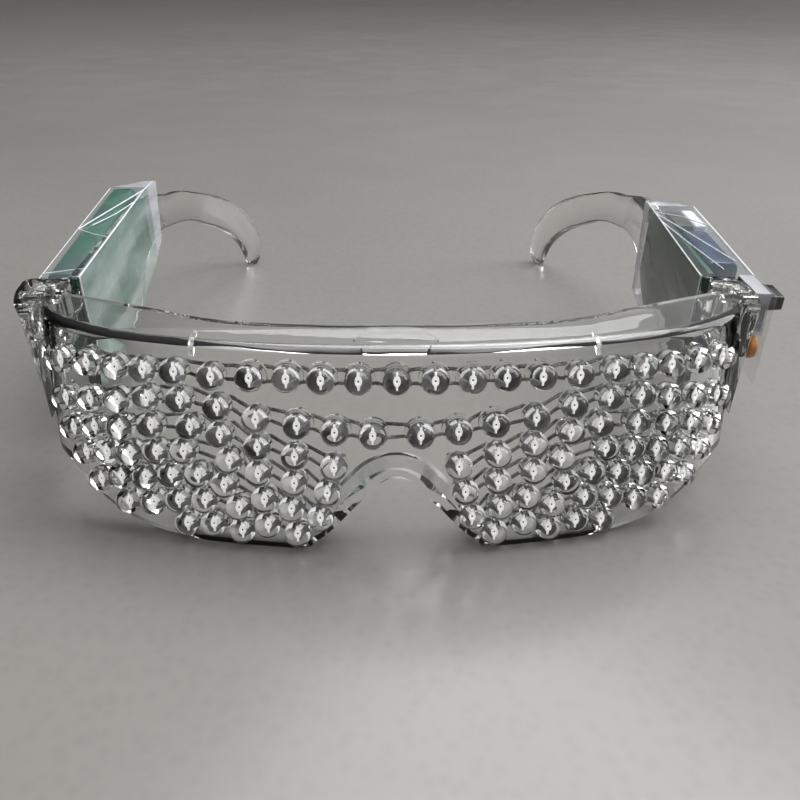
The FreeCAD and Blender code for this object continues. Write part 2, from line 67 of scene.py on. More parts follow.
def only(piece):
    """Nothing but this piece selected, and the piece active."""
    if bpy.context.object and bpy.context.object.mode != "OBJECT":
        bpy.ops.object.mode_set(mode="OBJECT")
    bpy.ops.object.select_all(action="DESELECT")
    piece.select_set(True)
    bpy.context.view_layer.objects.active = piece
    return piece


def settle(piece):
    """Puts the piece's place, turn and size into its mesh."""
    only(piece)
    bpy.ops.object.transform_apply(location=True, rotation=True, scale=True)
    return piece


def block(name, low, high):
    """A box drawn from its lowest to its highest corner, in millimetres."""
    bpy.ops.object.select_all(action="DESELECT")
    low, high = Vector(low) * mm, Vector(high) * mm
    bpy.ops.mesh.primitive_cube_add(size=1, location=(low + high) / 2)
    piece = bpy.context.object
    piece.name = piece.data.name = name
    piece.scale = high - low
    return settle(piece)


def pick(piece, kind, test):
    """In edit mode with the faces, edges or vertices selected whose middle passes the test."""
    only(piece)
    bpy.ops.object.mode_set(mode="EDIT")
    bpy.ops.mesh.select_mode(type=kind)
    bpy.ops.mesh.select_all(action="DESELECT")
    bpy.ops.object.mode_set(mode="OBJECT")
    mesh = piece.data
    if kind == "FACE":
        for f in mesh.polygons:
            f.select = bool(test(f.center / mm, f.normal))
    elif kind == "EDGE":
        for e in mesh.edges:
            a, b = (mesh.vertices[i].co for i in e.vertices)
            e.select = bool(test((a + b) / 2 / mm, (b - a) / mm))
    else:
        for v in mesh.vertices:
            v.select = bool(test(v.co / mm, v.normal))
    bpy.ops.object.mode_set(mode="EDIT")


def finish_with(piece, kind, **values):
    """Adds a modifier with its values and applies it."""
    only(piece)
    step = piece.modifiers.new(kind.title(), kind)
    for key, value in values.items():
        setattr(step, key, value)
    bpy.ops.object.modifier_apply(modifier=step.name)
    return piece


def rounded(piece, width, segments=2, degrees=30):
    """Rounds every edge of the piece that is sharper than this."""
    return finish_with(piece, "BEVEL", width=width * mm, segments=segments,
                       limit_method="ANGLE", angle_limit=math.radians(degrees))


def bevelled(piece, kind, test, offset, segments):
    """Rounds only those edges or faces of the piece that pass the test."""
    pick(piece, kind, test)
    bpy.ops.mesh.bevel(offset=offset * mm, segments=segments)
    bpy.ops.object.mode_set(mode="OBJECT")


def smoothed(piece, degrees):
    """Shades the piece round except over edges sharper than this."""
    only(piece)
    bpy.ops.object.shade_smooth_by_angle(angle=math.radians(degrees))


def joined_to(piece, *others):
    """The other objects become part of the piece."""
    only(piece)
    for other in others:
        other.select_set(True)
    bpy.ops.object.join()
    return piece


def carve(piece, tool, how="DIFFERENCE", crossing=False):
    """Cuts, joins or trims the piece with a tool body, and puts the tool away."""
    finish_with(piece, "BOOLEAN", object=tool, operation=how, solver="EXACT", use_self=crossing)
    bpy.data.objects.remove(tool)
    return piece


def drawn(name, spots, soft=True, depth=None):
    """An outline through spots as a face, pushed along depth into a solid."""
    bpy.ops.object.select_all(action="DESELECT")
    bpy.ops.curve.primitive_bezier_circle_add()
    curve = bpy.context.object
    curve.name = name
    curve.data.splines.clear()
    line = curve.data.splines.new("BEZIER")
    line.bezier_points.add(len(spots) - 1)
    line.use_cyclic_u = True
    line.resolution_u = 6
    for k, (dot, spot) in enumerate(zip(line.bezier_points, spots)):
        dot.co = Vector(spot) * mm
        smooth = soft if isinstance(soft, bool) else k in soft
        dot.handle_left_type = dot.handle_right_type = "AUTO" if smooth else "VECTOR"
    only(curve)
    bpy.ops.object.convert(target="MESH")
    piece = bpy.context.object
    piece.data.name = name
    bpy.ops.object.mode_set(mode="EDIT")
    bpy.ops.mesh.select_all(action="SELECT")
    bpy.ops.mesh.remove_doubles(threshold=0.01 * mm)
    bpy.ops.mesh.edge_face_add()
    if depth:
        bpy.ops.mesh.extrude_region_move(TRANSFORM_OT_translate={"value": Vector(depth) * mm})
        bpy.ops.mesh.select_all(action="SELECT")
        bpy.ops.mesh.normals_make_consistent(inside=False)
    bpy.ops.object.mode_set(mode="OBJECT")
    return piece


# The shield
# One clear polycarbonate moulding that wraps the face: a bent lens that leans back, a flat
# shelf along its brow, and a flared flange round the nose. It comes out of the mould whole.
lean = math.radians(9.9)
wall = 2.0
lens_half = 70.0
lens_tall = 38.5
brow_top = 38.5
lens_drop = 0.3
end_radius = 16.0
arcs = [(190.04, 14.63, 12), (42.0, 21.37, 10), (end_radius, 48.0, 14)]
side_run = 3.0
bends = []
x, y, turned = 0.0, arcs[0][0], 0.0
for k, (radius, angle, steps) in enumerate(arcs):
    bends.append((x, y, radius, turned, turned + math.radians(angle), steps))
    turned += math.radians(angle)
    if k < 2:
        x += (radius - arcs[k + 1][0]) * math.sin(turned)
        y -= (radius - arcs[k + 1][0]) * math.cos(turned)


def leaned(piece):
    """Leans a piece drawn square to the lens back, and sets it on the table."""
    piece.rotation_euler = (-lean, 0, 0)
    piece.location = (0, 0, -lens_drop * mm)
    return settle(piece)


def lens_wall():
    """A strip as thick as the lens, spun round the three bends of one side, then mirrored."""
    bpy.ops.object.select_all(action="DESELECT")
    bpy.ops.mesh.primitive_plane_add(size=1, location=(0, wall / 2 * mm, 19.25 * mm),
                                     rotation=(0, math.pi / 2, 0))
    piece = bpy.context.object
    piece.name = piece.data.name = "shield"
    piece.scale = (54.5 * mm, wall * mm, 1)
    settle(piece)
    bpy.ops.object.mode_set(mode="EDIT")
    bpy.ops.mesh.select_all(action="SELECT")
    bpy.ops.mesh.delete(type="ONLY_FACE")
    bpy.ops.mesh.select_all(action="SELECT")
    for x, y, radius, start, end, steps in bends:
        bpy.ops.mesh.spin(steps=steps, angle=start - end,
                          center=(x * mm, y * mm, 0), axis=(0, 0, 1))
    run = Vector((math.cos(end), math.sin(end), 0)) * side_run * mm
    bpy.ops.mesh.extrude_region_move(TRANSFORM_OT_translate={"value": run})
    bpy.ops.mesh.edge_face_add()
    bpy.ops.object.mode_set(mode="OBJECT")
    finish_with(piece, "MIRROR", use_axis=(True, False, False), merge_threshold=0.01 * mm)
    bpy.ops.object.mode_set(mode="EDIT")
    bpy.ops.mesh.select_all(action="SELECT")
    bpy.ops.mesh.normals_make_consistent(inside=False)
    bpy.ops.object.mode_set(mode="OBJECT")
    return piece


lower_edge = [(1.200, 0.372), (0.970, 0.372), (0.916, 0.350), (0.855, 0.265),
              (0.750, 0.140), (0.657, 0.072), (0.571, 0.039), (0.457, 0.010),
              (0.371, 0.000), (0.300, 0.006), (0.250, 0.018), (0.140, 0.030)]
right_edge = [(lens_half * x, -8.0, lens_tall * z) for x, z in lower_edge]
left_edge = [(-x, y, z) for x, y, z in reversed(right_edge)]
corners = [(-lens_half * 1.2, -8.0, 50.0), (lens_half * 1.2, -8.0, 50.0)]
outline = right_edge + left_edge + corners
shield = lens_wall()
carve(shield, drawn("lens_outline", outline, range(1, len(outline) - 3), (0, 70, 0)), "INTERSECT")

arch = [(0.243, -0.100), (0.223, 0.026), (0.191, 0.075), (0.161, 0.127), (0.129, 0.195),
        (0.090, 0.275), (0.047, 0.361)]


def arch_body(name, grow, front, rear):
    """The nose arch as a body that flares from in front of the lens to behind its flange."""
    side = [(lens_half * x, lens_tall * z) for x, z in arch] + [(0.0, lens_tall * 0.390)]
    spots = []
    for k, (x, z) in enumerate(side):
        ax, az = side[max(0, k - 1)]
        bx, bz = side[k + 1] if k < len(side) - 1 else (-ax, az)
        size = math.hypot(bx - ax, bz - az)
        spots.append((x + grow * (bz - az) / size, z + grow * (ax - bx) / size, x))
    spots += [(-x, z, -w) for x, z, w in reversed(spots[:-1])]
    flare = 1.8 / 7.5 * (rear - front)
    piece = drawn(name, [(x + 1.8 / 7.5 * front * max(-1, min(1, w / 6.3)), front, z)
                         for x, z, w in spots], range(1, len(spots) - 1))
    bpy.ops.object.mode_set(mode="EDIT")
    bpy.ops.mesh.select_all(action="SELECT")
    bpy.ops.mesh.extrude_region_move(TRANSFORM_OT_translate={
        "value": (0, (rear - front) * mm, 0.8 / 7.5 * (rear - front) * mm)})
    bpy.ops.object.mode_set(mode="OBJECT")
    for v in piece.data.vertices:
        if v.select:
            v.co.x += flare * max(-1, min(1, v.co.x / mm / 7.5)) * mm
    bpy.ops.object.mode_set(mode="EDIT")
    bpy.ops.mesh.select_all(action="SELECT")
    bpy.ops.mesh.normals_make_consistent(inside=False)
    bpy.ops.object.mode_set(mode="OBJECT")
    return piece


flange = arch_body("flange", 1.6, wall / 2, 7.5)
carve(flange, block("flange_foot", (-40, -20, -40), (40, 40, 4.2)))
carve(shield, flange, "UNION")
carve(shield, arch_body("nose_opening", 0.0, -1.5, 9.0))
leaned(shield)
carve(shield, block("above_brow", (-200, -200, brow_top), (200, 200, 150)))
carve(shield, block("under_table", (-200, -200, -150), (200, 200, 0)))

# The brow shelf runs from the lens back to a waved rear edge, thick as the lens.
brow_x = [0.930, 0.857, 0.679, 0.457, 0.214]
brow_y = [0.838, 0.786, 0.655, 0.494, 0.442]
rear_edge = [(lens_half * x, lens_tall * y, brow_top) for x, y in zip(brow_x, brow_y)]
rear_edge += [(0, lens_tall * 0.439, brow_top)] + [(-x, y, z) for x, y, z in reversed(rear_edge)]
lift = (brow_top + lens_drop) * math.tan(lean)
front_edge = []
for x, y, radius, start, end, steps in bends:
    for n in range(steps + (radius == end_radius)):
        a = start + (end - start) * n / steps
        px = x + (radius - 0.7) * math.sin(a)
        py = (y - (radius - 0.7) * math.cos(a)) / math.cos(lean) + lift
        front_edge.append((px, py, brow_top))
front_edge = [(-px, py, pz) for px, py, pz in reversed(front_edge[1:])] + front_edge
shelf_line = front_edge + rear_edge
shelf = drawn("shelf", shelf_line, range(len(front_edge) + 1, len(shelf_line) - 1), (0, 0, -wall))
carve(shield, shelf, "UNION")
for side in (-1, 1):
    rib = drawn("rib", [(side * 35.7 - 0.45, 12.2, 37.5), (side * 35.7 - 0.45, 18.8, 37.5),
                        (side * 35.7 - 0.45, 11.5, 35.0)], False, (0.9, 0, 0))
    carve(shield, rib, "UNION")
pad = drawn("gate_pad", [(-7.5, 9.9, 38.75), (-2.6, 9.6, 38.75), (2.4, 10.0, 38.75),
                         (7.3, 9.7, 38.75), (6.0, 12.1, 38.75), (5.2, 13.2, 38.75),
                         (4.9, 15.0, 38.75), (0.4, 15.3, 38.75), (-5.1, 15.1, 38.75),
                         (-6.0, 12.6, 38.75)], False, (0, 0, -0.6))
carve(shield, pad, "UNION")


# Each end of the shield carries two lugs for the hinge pin, with room between for the knuckle.
hinge_x, hinge_y = 68.6, 36.477
lug_radius, lug_tall, web_back = 3.6, 3.0, 6.5
room_low, room_high, room_front, room_half = 29.5, 35.5, 3.95, 5.6


def rod(name, at, radius, tall, sides=32):
    """An upright round bar standing on a spot, in millimetres."""
    bpy.ops.object.select_all(action="DESELECT")
    bpy.ops.mesh.primitive_cylinder_add(vertices=sides, radius=radius * mm, depth=tall * mm,
                                        location=(Vector(at) + Vector((0, 0, tall / 2))) * mm)
    piece = bpy.context.object
    piece.name = piece.data.name = name
    return settle(piece)


for side in (-1, 1):
    at_x = side * hinge_x
    carve(shield, block("relief", (at_x - room_half, hinge_y - room_front, room_low),
                        (at_x + room_half, hinge_y + 4.0, room_high)))
    for top in (room_low, 38.46):
        spots = [(at_x - lug_radius, hinge_y - web_back, top),
                 (at_x + lug_radius, hinge_y - web_back, top)]
        spots += [(at_x + lug_radius * math.cos(math.radians(a)),
                   hinge_y + lug_radius * math.sin(math.radians(a)), top)
                  for a in range(0, 181, 12)]
        lug = drawn("lug", spots, False, (0, 0, -lug_tall))
        rounded(lug, 0.35, degrees=50)
        carve(shield, lug, "UNION")
    carve(shield, rod("pin_bore", (at_x, hinge_y, 20), 1.02, 30))

# One hole is drilled through the lens for every lamp, square to its face.
row_xs = [[0.000, 0.095, 0.188, 0.274, 0.366, 0.463, 0.558, 0.640, 0.715, 0.798, 0.885],
          [0.061, 0.157, 0.252, 0.356, 0.454, 0.550, 0.638, 0.720, 0.803, 0.887],
          [0.161, 0.261, 0.356, 0.452, 0.530, 0.635, 0.722, 0.801, 0.874],
          [0.180, 0.265, 0.358, 0.432, 0.553, 0.629, 0.702, 0.772, 0.841],
          [0.200, 0.275, 0.346, 0.451, 0.520, 0.594, 0.666, 0.737, 0.802],
          [0.262, 0.340, 0.415, 0.507, 0.580, 0.651, 0.723],
          [0.410, 0.487, 0.561]]
row_zs = [[0.873, 0.873, 0.874, 0.879, 0.877, 0.876, 0.890, 0.890, 0.893, 0.894, 0.881],
          [0.610, 0.625, 0.654, 0.679, 0.730, 0.754, 0.753, 0.731, 0.713, 0.687],
          [0.448, 0.499, 0.541, 0.594, 0.624, 0.617, 0.594, 0.573, 0.538],
          [0.315, 0.362, 0.405, 0.464, 0.496, 0.482, 0.463, 0.449, 0.420],
          [0.183, 0.227, 0.270, 0.335, 0.377, 0.366, 0.343, 0.331, 0.291],
          [0.093, 0.134, 0.220, 0.245, 0.234, 0.209, 0.198],
          [0.098, 0.122, 0.112]]


def lamp_places(row):
    """Turn and place of every lamp of a row on the front face, from left to right."""
    places = []
    for share, rise in zip(row_xs[row], row_zs[row]):
        at = lens_half * share
        for x, y, radius, start, end, steps in bends:
            if at <= x + radius * math.sin(end) or radius == end_radius:
                a = math.asin(min(1, (at - x) / radius))
                spot = (x + radius * math.sin(a), y - radius * math.cos(a), lens_tall * rise)
                break
        places.append((a, Vector(spot)))
        if share:
            places.append((-a, Vector((-spot[0], spot[1], spot[2]))))
    return sorted(places, key=lambda p: p[1].x)


def copied(piece, turn, spot):
    """A copy of the piece with its own mesh, turned about the upright and put at a spot."""
    twin = piece.copy()
    twin.data = piece.data.copy()
    bpy.context.scene.collection.objects.link(twin)
    twin.rotation_euler = (0, 0, turn)
    twin.location = Vector(spot) * mm
    return twin


bpy.ops.object.select_all(action="DESELECT")
bpy.ops.mesh.primitive_cylinder_add(vertices=28, radius=2.5 * mm, depth=9 * mm,
                                    rotation=(math.pi / 2, 0, 0))
drill = settle(bpy.context.object)
bits = [copied(drill, a, spot) for row in range(7) for a, spot in lamp_places(row)]
bpy.data.objects.remove(drill)
bits = leaned(settle(joined_to(*bits)))
carve(shield, bits, crossing=True)


# The outer edge of the brow is moulded round.
def depth_behind(c):
    """How far a spot lies behind the front face of the lens."""
    py = c.y * math.cos(lean) - (c.z + lens_drop) * math.sin(lean)
    for x, y, radius, start, end, steps in bends:
        if start - 0.01 <= math.atan2(abs(c.x) - x, y - py) <= end + 0.01:
            return radius - math.hypot(abs(c.x) - x, py - y)
    return 99.0


pick(shield, "EDGE", lambda c, d: abs(c.z - brow_top) < 0.05 and abs(d.z) < 0.05
     and abs(depth_behind(c)) < 0.06 and abs(c.x) < 68)
bpy.ops.mesh.bevel(offset=1.8 * mm, segments=5, profile=0.5)
bpy.ops.object.mode_set(mode="OBJECT")

# Outside the lugs the wall swells into a clear ear, wider on the side without the switch.
ears = {-1: [(-66.8, 19.0), (-70.5, 24.0), (-73.4, 30.5), (-74.5, 36.0), (-74.4, 39.0),
             (-72.6, 39.8), (-69.0, 38.5), (-68.6, 30.0)],
        1: [(68.6, 30.0), (68.8, 36.0), (70.2, 39.6), (71.9, 38.3), (72.5, 36.5),
            (72.1, 31.0), (70.2, 24.5), (66.8, 19.0)]}
for side in (-1, 1):
    ear = drawn("ear", [(x, y, 38.4) for x, y in ears[side]], range(1, 7), (0, 0, -22.0))
    for v in ear.data.vertices:
        if v.co.z / mm < 20:
            v.co.x += (side * 68.0 * mm - v.co.x) * 0.72
            v.co.y += (24.0 * mm - v.co.y) * 0.45
    at_x = side * hinge_x
    near, far = sorted((at_x - side * room_half, at_x + side * 4.1))
    carve(ear, block("ear_relief", (near, hinge_y - 3.9, 29.53), (far, hinge_y + 6.0, 35.47)))
    carve(ear, rod("lug_room", (at_x, hinge_y, 10), 3.3, 40))
    rounded(ear, 0.35, degrees=50)
    joined_to(shield, ear)

cloud = bpy.data.node_groups.new("cloudy_surface", "ShaderNodeTree")
for name, kind, value in (("Scale", "NodeSocketFloat", 300.0),
                          ("Stretch", "NodeSocketVector", (1.0, 1.0, 1.0)),
                          ("Gloss low", "NodeSocketFloat", 0.1),
                          ("Gloss high", "NodeSocketFloat", 0.3),
                          ("Tone low", "NodeSocketColor", (0.5, 0.5, 0.5, 1)),
                          ("Tone high", "NodeSocketColor", (0.6, 0.6, 0.6, 1))):
    socket = cloud.interface.new_socket(name, in_out="INPUT", socket_type=kind)
    socket.default_value = value
for name, kind in (("Tone", "NodeSocketColor"), ("Gloss", "NodeSocketFloat"),
                   ("Height", "NodeSocketFloat")):
    cloud.interface.new_socket(name, in_out="OUTPUT", socket_type=kind)
wiring = {}
for key, kind in (("in", "NodeGroupInput"), ("out", "NodeGroupOutput"),
                  ("place", "ShaderNodeTexCoord"), ("stretch", "ShaderNodeMapping"),
                  ("coarse", "ShaderNodeTexNoise"), ("fine", "ShaderNodeTexNoise"),
                  ("finer", "ShaderNodeMath"), ("gloss", "ShaderNodeMapRange"),
                  ("tone", "ShaderNodeMix"), ("spread", "ShaderNodeMapRange")):
    wiring[key] = cloud.nodes.new(kind)
wiring["finer"].operation = "MULTIPLY"
wiring["finer"].inputs[1].default_value = 5.3
wiring["coarse"].inputs["Detail"].default_value = 3.0
wiring["fine"].inputs["Detail"].default_value = 2.0
wiring["tone"].data_type = "RGBA"
for one, out, two, into in (("place", "Object", "stretch", "Vector"),
                            ("in", "Stretch", "stretch", "Scale"),
                            ("stretch", "Vector", "coarse", "Vector"),
                            ("stretch", "Vector", "fine", "Vector"),
                            ("in", "Scale", "coarse", "Scale"),
                            ("in", "Scale", "finer", 0),
                            ("finer", "Value", "fine", "Scale"),
                            ("coarse", "Fac", "spread", "Value"),
                            ("fine", "Fac", "gloss", "Value"),
                            ("in", "Gloss low", "gloss", "To Min"),
                            ("in", "Gloss high", "gloss", "To Max"),
                            ("spread", "Result", "tone", "Factor"),
                            ("in", "Tone low", "tone", 6),
                            ("in", "Tone high", "tone", 7),
                            ("tone", 2, "out", "Tone"),
                            ("gloss", "Result", "out", "Gloss"),
                            ("coarse", "Fac", "out", "Height")):
    cloud.links.new(wiring[one].outputs[out], wiring[two].inputs[into])
for key in ("spread", "gloss"):
    wiring[key].inputs["From Min"].default_value = 0.32
    wiring[key].inputs["From Max"].default_value = 0.68


def finish_of(name, tones, scale, gloss, relief=0.0, stretch=(1, 1, 1), **plain):
    """A material whose colour, gloss and relief drift over the surface as real ones do."""
    material = bpy.data.materials.new(name)
    material.use_nodes = True
    nodes, links = material.node_tree.nodes, material.node_tree.links
    shader = nodes["Principled BSDF"]
    surface = nodes.new("ShaderNodeGroup")
    surface.node_tree = cloud
    surface.inputs["Scale"].default_value = scale
    surface.inputs["Stretch"].default_value = stretch
    surface.inputs["Gloss low"].default_value, surface.inputs["Gloss high"].default_value = gloss
    surface.inputs["Tone low"].default_value = (*tones[0], 1)
    surface.inputs["Tone high"].default_value = (*tones[1], 1)
    links.new(surface.outputs["Tone"], shader.inputs["Base Color"])
    links.new(surface.outputs["Gloss"], shader.inputs["Roughness"])
    if relief:
        bump = nodes.new("ShaderNodeBump")
        bump.inputs["Distance"].default_value = relief
        links.new(surface.outputs["Height"], bump.inputs["Height"])
        links.new(bump.outputs["Normal"], shader.inputs["Normal"])
    for socket, value in plain.items():
        shader.inputs[socket].default_value = value
    return material


clear = finish_of("clear_moulding", ((0.93, 0.95, 0.94), (0.98, 0.98, 0.97)), 40, (0.0, 0.035),
                  0.0002, IOR=1.55, **{"Transmission Weight": 1.0})


def dressed(piece, body, slot, *materials):
    """Gives a piece its materials, seat and body; its shape is finished by now. The slot is not
    used.
    """
    if materials:
        piece.data.materials.clear()
    for material in materials:
        piece.data.materials.append(material)
    piece.location = seat
    settle(piece)
    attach(piece, body)
    return piece


smoothed(shield, 28)
dressed(shield, "front", "clear_moulding", clear)
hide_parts("front_shield")


# The lamps
# Clear five millimetre lamps, cast in epoxy with a dome in front and a flange behind. A pale
# reflector cup on two posts sits inside, brightened by a faint painted glow, and each lamp is
# pushed through the lens from behind.
def lamp_model(flange_radius):
    """One lamp along the depth of the lens: dome, barrel and flange, front of the lens at zero."""
    bpy.ops.object.select_all(action="DESELECT")
    bpy.ops.mesh.primitive_uv_sphere_add(segments=20, ring_count=14, radius=2.45 * mm,
                                         location=(0, -0.05 * mm, 0),
                                         rotation=(math.pi / 2, 0, 0))
    piece = settle(bpy.context.object)
    piece.name = piece.data.name = "lamp"
    bpy.ops.object.mode_set(mode="EDIT")
    bpy.ops.mesh.select_all(action="SELECT")
    bpy.ops.mesh.bisect(plane_co=(0, -0.05 * mm, 0), plane_no=(0, 1, 0), clear_outer=True)
    pick(piece, "VERT", lambda c, n: c.y > -0.06)
    for depth, wider in ((2.05, 1), (0, flange_radius / 2.45), (0.95, 1)):
        bpy.ops.mesh.extrude_region_move(
            TRANSFORM_OT_translate={"value": (0, depth * mm, 0)})
        bpy.ops.transform.resize(value=(wider, 1, wider), center_override=(0, 0, 0))
    bpy.ops.mesh.edge_face_add()
    bpy.ops.mesh.select_all(action="SELECT")
    bpy.ops.mesh.normals_make_consistent(inside=False)
    bpy.ops.object.mode_set(mode="OBJECT")
    return piece


def cup_model():
    """The pale top of the lead frame: a vase-shaped cup for the die, between two narrow necks."""
    bpy.ops.object.select_all(action="DESELECT")
    bpy.ops.mesh.primitive_cylinder_add(vertices=14, radius=0.4 * mm, depth=0.3 * mm,
                                        rotation=(math.pi / 2, 0, 0))
    piece = bpy.context.object
    piece.name = piece.data.name = "cup"
    piece.scale = (1, 1.6, 1)
    settle(piece)
    pick(piece, "VERT", lambda c, n: abs(c.z) > 0.48)
    bpy.ops.transform.resize(value=(0.6, 1, 1.05), center_override=(0, 0, 0))
    bpy.ops.object.mode_set(mode="OBJECT")
    pick(piece, "FACE", lambda c, n: n.y < -0.9)
    bpy.ops.mesh.inset(thickness=0.12 * mm)
    bpy.ops.transform.resize(value=(1, 1, 0.6), center_override=(0, 0, 0))
    bpy.ops.mesh.extrude_region_move(TRANSFORM_OT_translate={"value": (0, 0.12 * mm, 0)})
    bpy.ops.transform.resize(value=(0.7, 1, 0.7), center_override=(0, 0, 0))
    bpy.ops.object.mode_set(mode="OBJECT")
    necks = [block("neck", (-w, -0.1, low), (w, 0.1, high))
             for w, low, high in ((0.14, 0.5, 1.15), (0.11, -1.0, -0.5))]
    for neck in necks:
        rounded(neck, 0.04, 1)
    return joined_to(piece, *necks)


def post_model():
    """The two slim posts of the lead frame, which run from the cup to the back of the lamp."""
    posts = [block("post", (-0.1, 0.1, z - 0.18), (0.1, 3.5, z + 0.18)) for z in (-0.9, 0.9)]
    for post in posts:
        rounded(post, 0.04, 1)
    return joined_to(*posts)


def die_model():
    """The small dark die in the bottom of the cup."""
    die = block("die", (-0.11, -0.07, -0.12), (0.11, 0.0, 0.12))
    return rounded(die, 0.03, 1)


epoxy = finish_of("lamp_epoxy", ((0.95, 0.95, 0.96), (0.99, 0.99, 0.98)), 120, (0.0, 0.03),
                  0.00004, IOR=1.53, **{"Transmission Weight": 1.0})
# The cup's emission is a painted glow: it stands in for the light that would reach the reflector
# through the clear epoxy, while the lamps themselves are switched off.
cup_white_painted_glow = finish_of("cup_silver_painted_glow", ((0.88, 0.87, 0.85), (0.98, 0.97, 0.96)), 900, (0.25, 0.5),
                      0.00004, **{"Emission Color": (1.0, 0.98, 0.96, 1),
                                  "Emission Strength": 0.45})
die_grey = finish_of("die_grey", ((0.03, 0.03, 0.03), (0.10, 0.09, 0.08)), 4000, (0.2, 0.5),
                     0.00001)
post_grey = finish_of("post_grey", ((0.30, 0.30, 0.31), (0.58, 0.58, 0.58)), 1500, (0.3, 0.5),
                      0.00002)

wide_lamp, slim_lamp = lamp_model(2.85), lamp_model(2.3)
cup, post, die = cup_model(), post_model(), die_model()
for part, skin in ((wide_lamp, epoxy), (slim_lamp, epoxy), (cup, cup_white_painted_glow), (post, post_grey),
                   (die, die_grey)):
    part.data.materials.clear()
    part.data.materials.append(skin)
    smoothed(part, 40)


def tail_of(a, spot):
    """Where the back of a lamp comes, behind the lens."""
    return spot + Vector((-math.sin(a), math.cos(a), 0)) * 3.0


every_tail = [tail_of(a, spot) for row in range(7) for a, spot in lamp_places(row)]
for row in range(7):
    lamps = []
    for a, spot in lamp_places(row):
        back = tail_of(a, spot)
        near = sorted((back - other).length for other in every_tail)[1]
        lamps.append(copied(wide_lamp if near > 5.75 else slim_lamp, a, spot))
        lamps += [copied(part, a, spot) for part in (cup, post, die)]
    lamps = leaned(settle(joined_to(*lamps)))
    lamps.name = lamps.data.name = "lamps_%d" % (row + 1)
    dressed(lamps, "front", "lamp_epoxy")
    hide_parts("lamps_row_%d" % (row + 1))
for part in (wide_lamp, slim_lamp, cup, post, die):
    bpy.data.objects.remove(part)


# The lead wires
# The lamps of a row are wired side by side: their two legs are folded over along the back of
# the lens and soldered to the next lamp's, which leaves two dark wires with bright blobs.
def wire(name, route, thick):
    """A round wire along a route, with its ends closed."""
    bpy.ops.object.select_all(action="DESELECT")
    bpy.ops.curve.primitive_nurbs_path_add()
    piece = bpy.context.object
    piece.name = name
    piece.data.splines.clear()
    line = piece.data.splines.new("POLY")
    line.points.add(len(route) - 1)
    for dot, spot in zip(line.points, route):
        dot.co = (*(Vector(spot) * mm), 1)
    piece.data.bevel_depth = thick / 2 * mm
    piece.data.bevel_resolution = 1
    piece.data.use_fill_caps = True
    only(piece)
    bpy.ops.object.convert(target="MESH")
    return bpy.context.object


def blob(at, size):
    """A drop of solder, flattened against the lamp it sits on."""
    bpy.ops.object.select_all(action="DESELECT")
    bpy.ops.mesh.primitive_ico_sphere_add(subdivisions=2, radius=size * mm,
                                          location=Vector(at) * mm)
    piece = bpy.context.object
    piece.scale = (1.3, 0.7, 0.8)
    return settle(piece)


tin = finish_of("lead_wire", ((0.015, 0.012, 0.012), (0.30, 0.29, 0.28)), 380, (0.2, 0.5),
                0.0001, Metallic=1.0)
for row in range(7):
    for up, node in ((1.27, "upper_rail"), (-1.27, "lower_rail")):
        runs = [lamp_places(row)]
        if row > 1:
            runs = [[p for p in runs[0] if p[1].x < 0], [p for p in runs[0] if p[1].x > 0]]
        parts = []
        for run in runs:
            route = []
            for k, (a, spot) in enumerate(run):
                back = spot + Vector((-math.sin(a), math.cos(a), 0)) * 3.3
                along = Vector((math.cos(a), math.sin(a), 0))
                for n, reach in enumerate((-1.9, -0.9, 0.0, 0.9, 1.9)):
                    sway = 0.2 * math.sin(5.1 * k + 2.3 * row + 1.9 * n + up)
                    route.append(back + along * reach + Vector((0, 0.3 * abs(sway), up + sway)))
                for n in range(3):
                    size = 0.40 + 0.16 * math.sin(3.7 * k + 1.3 * row + 2.1 * n)
                    at = back + along * (0.9 * (n - 1)) + Vector((0, 0.1, up + 0.05 * n))
                    parts.append(blob(at, size))
            parts.append(wire("wire", route, 0.66))
        name = node + "_wire_%d" % (row + 1)
        wires = leaned(settle(joined_to(*parts)))
        wires.name = wires.data.name = name
        smoothed(wires, 50)
        dressed(wires, "front", "lead_wire", tin)
        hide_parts(node + "_%d" % (row + 1))


# The temples
# Two clear arms of the same plastic, moulded with a round knuckle in front and an ear hook
# behind that curves in towards the head. Each turns on a pin between the lugs of the shield.
arm_reach, arm_tall, arm_thick, arm_face = 118.0, 39.0, 2.2, -3.6
arm_top = [(0.0356, 0.974), (0.339, 0.990), (0.517, 1.000), (0.619, 0.936), (0.686, 0.885),
           (0.763, 0.846), (0.826, 0.780), (0.873, 0.720), (0.941, 0.580), (0.983, 0.385),
           (0.9975, 0.180), (0.994, 0.060), (0.982, 0.000)]
arm_low = [(0.0356, 0.308), (0.280, 0.282), (0.381, 0.385), (0.483, 0.600), (0.610, 0.655),
           (0.695, 0.630), (0.780, 0.590), (0.839, 0.510), (0.907, 0.375), (0.952, 0.205),
           (0.966, 0.090), (0.9745, 0.000)]
sides = {"battery_temple": (-1, 1.0), "switch_temple": (1, -4.5)}


def on_side(piece, body):
    """Takes a piece drawn with its hinge pin at zero to its own side of the glasses."""
    side, splay = sides[body]
    if side < 0:
        piece.scale.x = -1
        settle(piece)
        pick(piece, "FACE", lambda c, n: True)
        bpy.ops.mesh.normals_make_consistent(inside=False)
        bpy.ops.object.mode_set(mode="OBJECT")
    piece.rotation_euler = (0, 0, math.radians(splay))
    piece.location = Vector((side * hinge_x, hinge_y, 0)) * mm
    return settle(piece)


def sliced(piece, axis, *cuts):
    """Cuts the skin of the piece across Y or Z at each place, so that it can bend there."""
    way = Vector((0, axis == "Y", axis == "Z"))
    for cut in cuts:
        pick(piece, "FACE", lambda c, n: True)
        bpy.ops.mesh.bisect(plane_co=way * (cut * mm), plane_no=way)
        bpy.ops.object.mode_set(mode="OBJECT")


